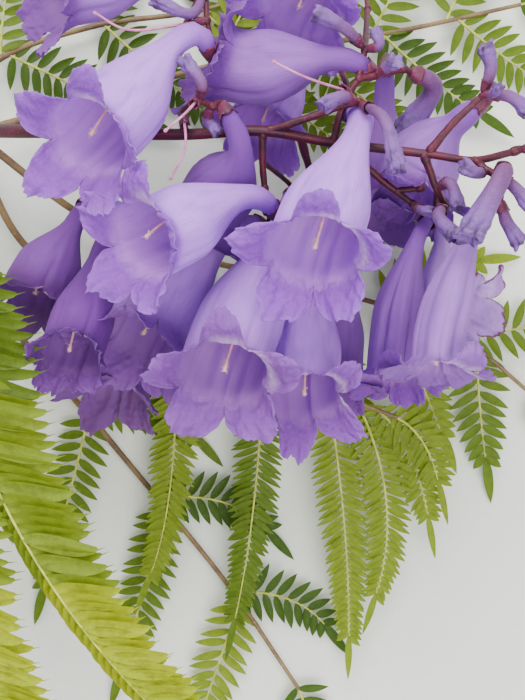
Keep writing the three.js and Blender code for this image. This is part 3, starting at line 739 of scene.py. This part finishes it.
# Stem, with ridged bark and a flat cut
def make_stem():
    path = spline(STEM)

    def relief(t, turn):
        """Ridges along the bark, and with them small raised pores."""
        spots = stacked(2.2 * np.cos(turn), 2.2 * np.sin(turn), t * path.length * 0.22)
        ridges = waves(spots, 5, 1.7)
        pores = np.clip(waves(spots * (1, 1, 3.2), 8, 1.5) - 1.3, 0, 1)
        return 0.13 * ridges + 0.3 * pores, ridges

    def radius(t, turn):
        nodes = sum(bell(t - at, 0.03) for at in STEM_NODES)
        return mix(*STEM_RADIUS, t) - 0.12 + relief(t, turn)[0] * smooth(0, 0.02, t) + 0.22 * nodes

    patch = Patch()
    tube(patch, path, radius, sides=84, rows=190, paint_at=lambda t, turn: stacked(relief(t, turn)[1], 0, 0))
    patch.make("stem_bark", "bark", [BARK], ["stem"])
    make_cut_face(path)


def make_cut_face(path):
    """A disc at the stem's foot, painted with the share of the radius."""
    sides, rows = 48, 14
    turns = even_turns(sides)
    shares = np.linspace(0.04, 1, rows)
    alongs, outs, asides = path.frames([0])
    centre = path.at(0) - alongs[0] * 0.04
    points = centre + shares[:, None, None] * (STEM_RADIUS[0] - 0.1) * circles(outs, asides, turns)
    faces = [sheet_faces(rows, sides, flip=True), fan_faces(rows * sides, np.arange(sides), flip=True)]
    face = Patch()
    face.add([points, centre], faces, [stacked(shares[:, None], turns, 0)])
    face.make("stem_cut_face", "bark", [WOOD])


def twig_radius(low, high, seed):
    """Radius along a twig, with slow swellings."""

    def swell(t, turn):
        return waves(round_spots(turn, t * 9), seed, 2.2)

    return lambda t, turn: mix(low, high, t) * (1 + 0.06 * swell(t, turn))


def make_axis():
    patch = Patch()
    tube(patch, spline(AXIS), twig_radius(*AXIS_RADIUS, seed=11), sides=28, rows=300)
    for shoot in SHOOTS.values():
        start, after = [vec(v) for v in shoot["joints"][:2]]
        way = unit(after - start)
        ball(patch, start + way * 0.7, 1.12, way, stretch=1.6)
    patch.make("panicle_axis_skin", "twig", [TWIG], ["panicle_axis"])


# Blooms
def trait(name, key):
    return TRAITS.get(name, {}).get(key, PLAIN[key])


def bloom_seed(name):
    return list(BLOOMS).index(name) + 40


def bloom_path(name):
    """Middle line of a bloom's tube, over its crest and out the way that it faces."""
    calyx, crest, throat = [vec(v) for v in BLOOMS[name][:3]]
    facing = unit(vec(BLOOMS[name][3]))
    reach = np.linalg.norm(crest - throat)
    return bezier(calyx, mix(calyx, crest, 2.2), throat - facing * 0.42 * reach, throat)


def tube_radius(name, u, turn):
    oval = 1 - 0.07 * np.cos(2 * turn)
    neck = SEAT_RADIUS + NECK_SWELL * smooth(0, 0.16, u)
    return BLOOMS[name][4] * oval * (neck + BELLY_SWELL * smooth(*trait(name, "swell"), u))


def tube_wall(name, rng, u, turns, across):
    """Radius of a tube, with a crease from each cleft, two folds low down, dents and fine pleats."""
    size = BLOOMS[name][4]
    seed = bloom_seed(name)
    radius = tube_radius(name, u, turns)
    radius = radius - 0.5 * size * bell(np.abs(across) - 1, 0.16) * smooth(0.45, 0.98, u)
    for at in (-0.42, 0.42):
        radius = radius - 0.8 * size * bell(wrapped(turns) - at, 0.16) * smooth(0.25, 0.6, u)
    for at, depth in zip(rng.uniform(0, TURN, 7), rng.uniform(0.5, 1.6, 7)):
        dent = trait(name, "worn") * depth * size * bell(wrapped(turns - at), 0.2)
        radius = radius - dent * smooth(0.2, 0.65, u)
    spots = round_spots(turns, u * 2.2)
    radius = radius * (1 + 0.04 * waves(spots, seed, 1.9) * smooth(0.05, 0.4, u))
    return radius + 0.07 * waves(spots * (5, 5, 0.8), seed + 1, 2.4) * smooth(0.25, 0.8, u)


def lobe_values(turn):
    """Reach and flare of a lobe at this turn: low ones reach on, high ones lie back."""
    low = (1 + np.cos(turn)) / 2
    return mix(SIDE_LOBE, LOW_LOBE, low * 2 - 1) if low > 0.5 else mix(HIGH_LOBE, SIDE_LOBE, low * 2)


def lobe_relief(seed, columns, run, reached, from_tip, phase):
    """How far ruffles, rolled sides and puckers stand off a lobe's face, for a bloom of size 1."""
    lobe, across, calm, roll = columns
    rim_near = np.exp(-from_tip / 3.2)
    rim_close = np.exp(-from_tip / 1.3)
    slow = np.sin(3.4 * across + phase[0] + 1.3 * reached) + 0.6 * np.sin(6.1 * across + phase[1])
    quick = np.sin(10.5 * across + phase[2] + 2 * reached) + 0.6 * np.sin(17 * across + phase[3])
    fine = np.sin(29 * across + phase[4])
    ruffle = (0.35 + 0.5 * rim_near) * slow * reached + 0.42 * rim_near * quick * reached
    ruffle = calm * (0.8 * ruffle + 0.2 * rim_close * fine)
    gutter = -0.5 * bell(across, 0.25)
    spots = stacked(across * 6 + 9 * lobe, run * 0.8, 0)
    pucker = 0.16 * waves(spots, seed + 2, 2.2) + 0.09 * waves(spots * 2.3, seed + 3, 2.2)
    return ruffle + (roll + gutter) * smooth(0.25, 1, reached) + pucker * smooth(0, 0.3, reached)


def lobe_surface(name, rng, lobe, across, middle, throat):
    """Points of the lobes, with the share of the reach, nearness to the rim and turn of each."""
    centre, radius, along, out, side = throat
    size, worn = BLOOMS[name][4], trait(name, "worn")

    def for_lobes(low, high):
        """A random number for each lobe, one value a column."""
        return rng.uniform(low, high, LOBES)[lobe]

    cleft_turn = middle + SECTOR * np.sign(across)
    own = vec([lobe_values(k) for k in middle])
    shared = vec([lobe_values(k) for k in cleft_turn])
    cleft = np.interp((1 + np.cos(cleft_turn)) / 2, [0.1, 0.65, 1], [1.6, 3, 4.8])
    cleft = cleft * size / trait(name, "part")
    wide = np.interp((1 + np.cos(middle)) / 2, [0, 0.35, 0.9], [5.1, 5.7, 6.3])
    wide = wide * size * trait(name, "width")
    blend = np.abs(across) ** 3
    reach, flare = mix(own, shared, blend[:, None]).T
    high = (1 - np.cos(middle)) / 2
    calm = (1 + worn) * (1 - 0.6 * high**2)
    flare = flare * trait(name, "spread") * mix(for_lobes(0.75 - 0.35 * worn, 1.25 + 0.4 * worn), 1, blend)
    reach = reach * trait(name, "reach") * size * mix(for_lobes(0.92 - 0.3 * worn, 1.06), 1, blend)

    # The outline: blunt, a little skewed, with a jagged edge
    tip = np.clip(1 - np.abs(across) ** 2.3, 0, 1) ** 0.46 * (1 + for_lobes(-0.16, 0.16) * across)
    phase = rng.uniform(0, TURN, (8, LOBES))[:, lobe]
    jag = 0.05 * np.sin(5.5 * across + phase[0]) + 0.035 * np.sin(13 * across + phase[1])
    jag = jag + 0.03 * np.sin(27 * across + phase[2]) + rng.uniform(-0.03, 0.03, len(lobe))
    length = cleft + (reach - cleft) * tip * (1 + calm * jag)

    # Each column leans out by a constant bend, and the sides come free above the clefts
    run = (1 - (1 - np.linspace(0, 1, LOBE_ROWS + 1)[1:]) ** 1.25)[:, None] * length
    bend = (flare - START_FLARE) / reach
    lean = START_FLARE + bend * run
    wider = radius + (math.cos(START_FLARE) - np.cos(lean)) / bend
    lift = (np.sin(lean) - math.sin(START_FLARE)) / bend
    free = smooth(0.5 * cleft, 1.2 * cleft + 2.5 * size, run)
    half = mix(SECTOR, np.minimum(SECTOR * 0.98, wide / wider), free)
    turn = middle + half * across + for_lobes(-0.07, 0.07) * smooth(2 * size, 8 * size, run)
    widen = mix(trait(name, "narrow"), 1, smooth(0, 6 * size, run))
    outward = out * np.cos(turn)[..., None] + side * (widen * np.sin(turn))[..., None]
    points = centre + wider[..., None] * outward + lift[..., None] * along

    face = outward * np.cos(lean)[..., None] - along * np.sin(lean)[..., None]
    reached = run / reach
    from_tip = (length - run) / size
    columns = (lobe, across, calm, for_lobes(-0.3, 1.8) * across**2)
    offset = size * lobe_relief(bloom_seed(name), columns, run, reached, from_tip, phase[3:])
    return points + offset[..., None] * face, reached, np.exp(-from_tip / 1.1), turn


def bloom_grid(name):
    """Points of a bloom's middle surface, with the run, nearness to the rim and turn of each."""
    rng = np.random.default_rng(bloom_seed(name))
    path = bloom_path(name)
    count = LOBES * COLUMNS
    lobe = np.arange(count) // COLUMNS
    even = -1 + 2 * (np.arange(count) % COLUMNS) / COLUMNS
    across = even * (1.35 - 0.35 * even**2)
    middle = 2 * SECTOR * lobe + SECTOR + trait(name, "turned")
    turns = middle + SECTOR * across

    # Frames run back from the throat
    shares = 1 - (1 - np.linspace(0, 1, TUBE_ROWS)) ** 1.15
    alongs, outs, sides = [k[::-1] for k in path.frames(shares[::-1], DOWN)]
    centres = path.at(shares)
    u = shares[:, None]
    radius = tube_wall(name, rng, u, turns, across)
    ring = circles(outs, sides * trait(name, "narrow"), turns)
    tube_points = centres[:, None] + radius[..., None] * ring
    throat = (centres[-1], radius[-1], alongs[-1], outs[-1], sides[-1])
    lobe_points, reached, rim, turn = lobe_surface(name, rng, lobe, across, middle, throat)

    tube_size = (TUBE_ROWS, count)
    run = np.vstack([np.broadcast_to(u, tube_size), 1 + reached])
    rim = np.vstack([np.zeros(tube_size), rim])
    turn = np.vstack([np.broadcast_to(turns, tube_size), turn])
    return np.vstack([tube_points, lobe_points]), run, rim, turn, path


def make_bloom(name):
    """The petals as a thin wall. Its zone holds the run, the side and the nearness to the rim."""
    points, run, rim, turn, path = bloom_grid(name)
    d_turn = np.roll(points, -1, axis=1) - np.roll(points, 1, axis=1)
    normal = unit(np.cross(d_turn, np.gradient(points, axis=0)))
    half = HALF_PETAL - RIM_THINNING * rim
    half[:2] = HALF_SEAT
    wall = normal * half[..., None]
    ends = path.at(vec([0, 0.02]))
    weave = round_spots(turn, run * 1.6)
    patch = Patch()
    add_shell(patch, points + wall, points - wall, ends, [weave, weave])
    # The bloom's colour traits: greyer and darker, both partly painted shade, and withered
    shade = [trait(name, key) for key in ("faded_and_shaded", "deep_and_shaded", "dry")]
    piece = patch.make(f"petals_{name}", "petal", [PETAL], [f"bloom_{name}"], shade)
    skins = [stacked(run, inside, rim) for inside in (0, 1)]
    add_vectors(piece.data, "zone", joined(skins, len(piece.data.vertices)))


def make_staminode(patch, name):
    """The pale, hairy-tipped stalk that stands in a bloom's mouth."""
    size = BLOOMS[name][4]
    path = bloom_path(name)
    alongs, outs, _ = path.frames(np.linspace(1, 0.3, 30), DOWN)
    root = path.at(0.45) - outs[-6] * tube_radius(name, 0.45, math.pi) * 0.7
    mouth = path.at(1)
    bend = mix(root, mouth, 0.6) - outs[0] * 2.4 * size
    tip = mouth - outs[0] * 0.6 * size + alongs[0] * 1.6 * size
    stalk = bezier(root, bend, tip)
    tube(patch, stalk, lambda t, turn: mix(0.4, 0.26, t) + 0.16 * smooth(0.9, 1, t), sides=10, rows=30)
    rng = np.random.default_rng(list(BLOOMS).index(name) + 300)
    for _ in range(30):
        at = rng.uniform(0.92, 1)
        way = unit(rng.normal(size=3) + 0.4 * stalk.along(at))
        foot = stalk.at(at)
        hair = Path(vec([foot, foot + way * rng.uniform(0.5, 1.25) * size]))
        tube(patch, hair, lambda t, turn: 0.07 * (1 - 0.6 * t), sides=4, rows=3, kind=1)


# Side shoots: twigs and flower stalks, calyces, buds and styles
def cup(patch, path, span, foot, mouth, teeth, seed):
    """A calyx: a ribbed cup with short teeth round its open mouth."""
    rows, sides = 12, 30
    shares = np.linspace(*span, rows)
    alongs, outs, asides = path.frames(shares)
    turns = even_turns(sides)
    s = np.linspace(0, 1, rows)[:, None]
    radius = mix(foot, mouth, s**0.6) * (1 + 0.05 * np.cos(5 * turns) * s)
    radius = radius + 0.12 * smooth(0.8, 1, s)
    length = (span[1] - span[0]) * path.length
    tooth = teeth * np.abs(np.cos(2.5 * turns + seed)) * smooth(0.75, 1, s)
    ring = circles(outs, asides, turns)
    outer = path.at(shares)[:, None] + radius[..., None] * ring
    outer = outer + (tooth * length)[..., None] * alongs[:, None]
    ends = path.at(vec([span[0], mix(*span, 0.1)]))
    add_shell(patch, outer, outer - CALYX_WALL * ring, ends)


def make_bud(patch, path, size, seed):
    """A closed flower: a tube that widens to a blunt, crumpled end."""
    rng = np.random.default_rng(seed)
    phase = rng.uniform(0, TURN, 3)
    foot, cap, rows = 0.14, 0.955, 44
    shares = np.append(np.linspace(foot, cap, rows), cap - vec([0.002, 0.012, 0.03, 0.05]))
    inner = np.append(np.ones(rows), [0.82, 0.62, 0.38, 0.15])[:, None]

    def near_tip(t):
        return smooth(0.62, 0.93, t)

    def radius(t, turn):
        body = 0.55 + 0.45 * smooth(0.12, 0.27, t) + 0.2 * smooth(0.2, 0.5, t) + 0.5 * smooth(0.5, 0.9, t)
        seams = 1 - 0.2 * np.abs(np.cos(2.5 * turn + phase[0])) ** 6 * smooth(0.5, 0.9, t)
        spots = round_spots(turn, t * path.length / (2.4 * size))
        creases = 1 - np.abs(waves(spots, seed, 1.5))
        crumple = 1 + (0.2 * creases - 0.12 + 0.1 * waves(spots, seed + 2, 0.8)) * near_tip(t)
        return size * body * seams * (crumple + 0.035 * waves(spots, seed + 1, 1.6)) * inner

    def lift(t, turn):
        horns = 0.4 * np.abs(np.sin(2.5 * turn + phase[0])) ** 2 + 0.45 * np.sin(turn + phase[1])
        return size * horns * near_tip(t) ** 3 * inner

    tube(patch, path, radius, sides=40, rows=shares, paint_at=lambda t, turn: stacked(t, 0, 0), lift=lift)


def make_shoots():
    buds, calyces, styles = Patch(), Patch(), Patch()
    seed = 500
    for node, spec in SHOOTS.items():
        joints = dict(zip("abcdefghi", spec["joints"]))
        twigs = Patch()
        for order, names in enumerate(spec.get("limbs", ["".join(joints)])):
            path = spline([joints[k] for k in names])
            foot_radius = TWIG_RADIUS[1 if order else 0] + 0.05
            rows = int(path.length * 3) + 6
            tube(twigs, path, twig_radius(foot_radius, TWIG_RADIUS[1], seed), 16, rows)
            ball(twigs, path.at(1), 0.98, path.along(1))
            seed += 1
        for name, at in spec.get("blooms", {}).items():
            tube_path = bloom_path(name)
            along = tube_path.along(0)
            mouth = tube_path.at(0) - along * BLOOM_GAP
            path = spline([vec(joints[at]), mouth - along * CALYX_LENGTH, mouth])
            foot = 1 - CALYX_LENGTH / path.length
            tube(twigs, path, twig_radius(STALK_RADIUS, STALK_RADIUS, seed), 12, 26, span=(0, foot + 0.03))
            cup(calyces, path, (foot, 1), 0.85, CALYX_MOUTH, 0.3, seed)
            seed += 1
        for at, bend, tip, size in spec.get("buds", []):
            path = spline([joints[at], bend, tip])
            tube(twigs, path, twig_radius(0.7, 0.75, seed), 12, 14, span=(0, 0.2))
            cup(calyces, path, (0.08, 0.08 + 2.3 / path.length), 0.8, 0.9 * size + 0.4, 0.14, seed)
            make_bud(buds, path, size, seed)
            seed += 1
        for at, bend, tip in spec.get("styles", []):
            path = spline([joints[at], bend, tip])
            tube(styles, path, lambda t, turn: mix(0.34, 0.24, t), 10, 50, span=(0.04, 1))
            ball(styles, path.at(1), 0.42, path.along(1))
            cup(calyces, path, (0, min(0.16, 2.4 / path.length)), 0.7, 1.15, 0.4, seed)
            seed += 1
        twigs.make(f"{node}_twigs", "twig", [TWIG], [node])
    buds.make("buds", "bud", [BUD])
    calyces.make("calyces", "calyx", [CALYX])
    styles.make("styles", "style", [STYLE])


# Leaves
def leaflet(patch, root, way, side, length, width, kind, fold=0.3, sag=0.08, taper=0.8, curl=0):
    """A narrow blade, widest low down, folded along its midrib, with a drawn-out point."""
    rows = 9 if curl == 0 else 14
    t = np.linspace(0, 1, rows - 1)
    t = t**0.9 if curl == 0 else 1 - (1 - t) ** 1.6
    t = np.append(t, 1.05 + 0.5 * abs(curl))
    half = width * 0.5 * (t + 0.03) ** 0.55 * np.clip(1.03 - t, 0, 1) ** taper * (1.3 + 0.52 * taper)
    half[-2:] = (0.2, 0.04)
    normal = unit(np.cross(way, side))
    spine = root + way * (t * length)[:, None] - normal * (sag * length * t**2)[:, None]
    spine = spine + side * (curl * length * (t**6 - 0.4 * t**2))[:, None]
    across = vec([-1, -0.5, 0, 0.5, 1])
    points = spine[:, None] + side * (half[:, None] * across)[..., None]
    points = points + normal * (np.abs(across) * fold * half[:, None])[..., None]
    points[..., 2] = np.maximum(points[..., 2], MIDDLE[2] + 0.15)
    patch.add([points], [sheet_faces(rows, len(across), closed=False)], kind=kind)


def make_pinna(blades, ribs, root, bend, tip, spec, rng):
    """Leaflets on both sides of a fine rib. Young ones are long and curl, and are yellower further down."""
    path = bezier(root, bend, tip)
    length = spec["leaflet"]
    width = length * spec["width"]
    young = spec["tone"] == YOUNG
    count = int(path.length / (length * spec["pitch"]))
    thick = 0.5 if young else 0.4
    tube(ribs, path, lambda t, turn: mix(thick, 0.16, t), sides=7, rows=30, across=UP)
    tone = int(np.clip(spec["tone"] + rng.choice([-1, 0, 0, 1]), DEEP, FRESH))
    droop = rng.uniform(-0.12, 0.05)
    for i in range(1, count + 1):
        share = (i - 0.35) / count
        share = share + 0.12 * share * (1 - share)
        reach = 0.78 + 0.6 * share - 0.93 * share * share
        if young:
            reach = 1.2 - 0.42 * share - 0.2 * smooth(0, 0.5, share)
            reach = reach * (0.25 + 0.75 * smooth(0, 0.25, share))
            low = rng.normal(0, 3) - path.at(min(share, 1))[1]
            tone = MID + (low > 6) + (low > 44)
        reach = reach * length
        for hand in (-1, 1):
            along = path.along(min(share, 1))
            left = unit(np.cross(UP, along))
            angle = rng.normal(1.22, 0.03 if young else 0.05) - 0.42 * share
            tilt = rng.normal(droop, 0.06)
            if young:
                angle -= 0.15
                left = left if hand > 0 else left * 0.35 + UP * 0.9
            way = unit(along * math.cos(angle) + hand * left * math.sin(angle) + UP * tilt)
            side = unit(np.cross(UP, way) + UP * rng.normal(0.1 * hand, 0.14))
            foot = path.at(min(share + 0.008 * hand, 1)) + hand * left * 0.15
            size = reach * rng.uniform(0.92, 1.04)
            shape = dict(sag=0.16, taper=0.6, curl=0.085 * hand, fold=0.42) if young else {}
            leaflet(blades, foot, way, side, size, width, tone, **shape)
    along = path.along(1)
    side = unit(np.cross(UP, along))
    last = 1.4 if spec["tone"] == FRESH else 1.2
    leaflet(blades, path.at(1), along, side, length * last, width * 1.1, tone, sag=0.1)


def make_leaf(name):
    spec = {**FAR_LEAF, **LEAVES[name]}
    rng = np.random.default_rng(list(LEAVES).index(name) + 900)
    path = spline(spec["path"])
    stalks, ribs, blades = Patch(), Patch(), Patch()
    droop = vec(spec["droop"])

    def stalk_radius(t, turn):
        return mix(1.05, 0.5, t) * (1 - 0.12 * np.cos(turn) ** 4)

    def grow(share, hand, length):
        """A pinna to the left, to the right or, where hand is 0, straight on."""
        root = path.at(share)
        along = path.along(share)
        left = unit(np.cross(UP, along))
        way = along * math.cos(spec["angle"]) + hand * left * math.sin(spec["angle"])
        way = way * (1, 1, 0.3)
        tip = root + way * length * 0.8 + droop * length * 0.3
        tip[2] = max(tip[2] - 1, 0.5)
        make_pinna(blades, ribs, root, root + way * length * 0.5, tip, spec, rng)

    tube(stalks, path, stalk_radius, sides=14, rows=160, across=UP)
    for i in range(spec["pairs"]):
        part = i / spec["pairs"]
        share = spec["start"] + (1 - spec["start"]) * part
        length = spec["pinna"] * (1 - 0.45 * part * part)
        grow(share, 1, length)
        grow(min(share + 0.02, 1), -1, length)
    for share, bend, tip in spec["pinnae"]:
        make_pinna(blades, ribs, path.at(share), bend, tip, spec, rng)
    grow(0.985, 0, spec["pinna"] * 0.6)
    slot = "young_leaf" if spec["tone"] >= FRESH else "leaf"
    blades.make(f"{name}_leaflets", slot, GREENS, [name])
    ribs.make(f"{name}_ribs", slot, [RIB])
    stalks.make(f"{name}_stalk", "twig", [STALK])


make_stem()
make_axis()
stamens = Patch()
for bloom_name in BLOOMS:
    make_bloom(bloom_name)
    make_staminode(stamens, bloom_name)
stamens.make("stamens", "style", [STAMEN, HAIR])
make_shoots()
for leaf_name in LEAVES:
    make_leaf(leaf_name)


# Floor, light and camera
def floor_finish():
    """A plain pale matt floor."""
    f = Finish("floor")
    grain = f.noise(900, 2)
    base = f.blend(grain, "ced2c8", "d6d9d0")
    return f.surface(base, 0.95, f.bump(grain, 0.0002, 0.3), Specular_IOR_Level=0.1)


def make_floor():
    mesh = bpy.data.meshes.new("floor")
    reach, level = 1.6, -0.0004
    corners = [(x * reach, y * reach, level) for x, y in ((-1, -1), (1, -1), (1, 1), (-1, 1))]
    mesh.from_pydata(corners, [], [(0, 1, 2, 3)])
    mesh.materials.append(floor_finish())
    link("floor", mesh)


def make_lights():
    world = bpy.data.worlds.new("sky")
    bpy.context.scene.world = world
    world.use_nodes = True
    background = world.node_tree.nodes["Background"]
    background.inputs["Color"].default_value = (0.95, 0.97, 1, 1)
    background.inputs["Strength"].default_value = 1.15

    def area(name, place, aim, size, power, colour):
        light = bpy.data.lights.new(name, "AREA")
        light.shape = "DISK"
        light.size = size
        light.energy = power
        light.color = colour
        lamp = link(name, light)
        lamp.location = place
        lamp.rotation_mode = "QUATERNION"
        lamp.rotation_quaternion = Vector(vec(aim) - vec(place)).to_track_quat("-Z", "Y")

    area("key", (-0.12, 0.5, 0.5), (0, 0.02, 0.04), size=0.5, power=9, colour=(1, 0.98, 0.96))
    area("fill", (0.2, -0.25, 0.7), (0, 0, 0.04), size=0.6, power=7, colour=(1, 1, 1))


def make_camera():
    camera = bpy.data.cameras.new("camera")
    camera.sensor_fit = "AUTO"
    camera.sensor_width = SENSOR
    camera.lens = SENSOR * FOCAL / PICTURE_HEIGHT
    camera.clip_start = 0.01
    eye = link("camera", camera)
    eye.location = (-MIDDLE[0] * MM, -MIDDLE[1] * MM, (EYE_HEIGHT - MIDDLE[2]) * MM)
    bpy.context.scene.camera = eye


make_floor()
make_lights()
make_camera()
